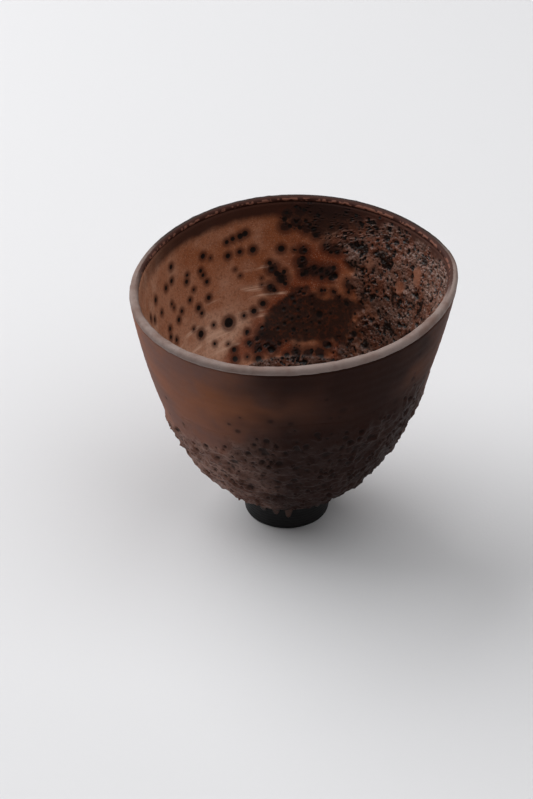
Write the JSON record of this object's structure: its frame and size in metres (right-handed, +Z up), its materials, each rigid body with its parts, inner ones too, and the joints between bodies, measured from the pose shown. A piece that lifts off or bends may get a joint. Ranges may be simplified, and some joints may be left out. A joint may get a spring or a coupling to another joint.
{
  "type": "footed cup",
  "caption": "Thrown stoneware cup with a deep tapering bowl, an uneven rim and crater glaze, on a small turned foot ring. It has no handles.",
  "frame": {"origin": "middle of the cup's bounding box in plan, on the surface that the foot ring stands on", "axes": "+Z up, out of the mouth; +X towards the side with the pulled corner of the rim; -Y towards the picture's viewer"},
  "size_m": [0.1114, 0.1098, 0.0951],
  "materials": {
    "clay": "bare dark stoneware, matt, mauve grey at the lip",
    "foot": "bare black stoneware, smooth and matt",
    "outer_glaze": "thin satin brown glaze, cloudy",
    "outer_crust": "rough crater glaze, dark grey brown",
    "glaze_bead": "glossy orange-brown edge with drips",
    "inner_glaze": "satin tan glaze with dark iron spots",
    "inner_crust": "crater glaze, purple brown with black pits"
  },
  "bodies": {
    "root": {"bowl_body": "clay", "foot_ring": "foot", "outer_glaze": "outer_glaze", "outer_crust": "outer_crust", "glaze_bead": "glaze_bead", "inner_glaze": "inner_glaze", "inner_crust": "inner_crust"}
  },
  "joints": []
}
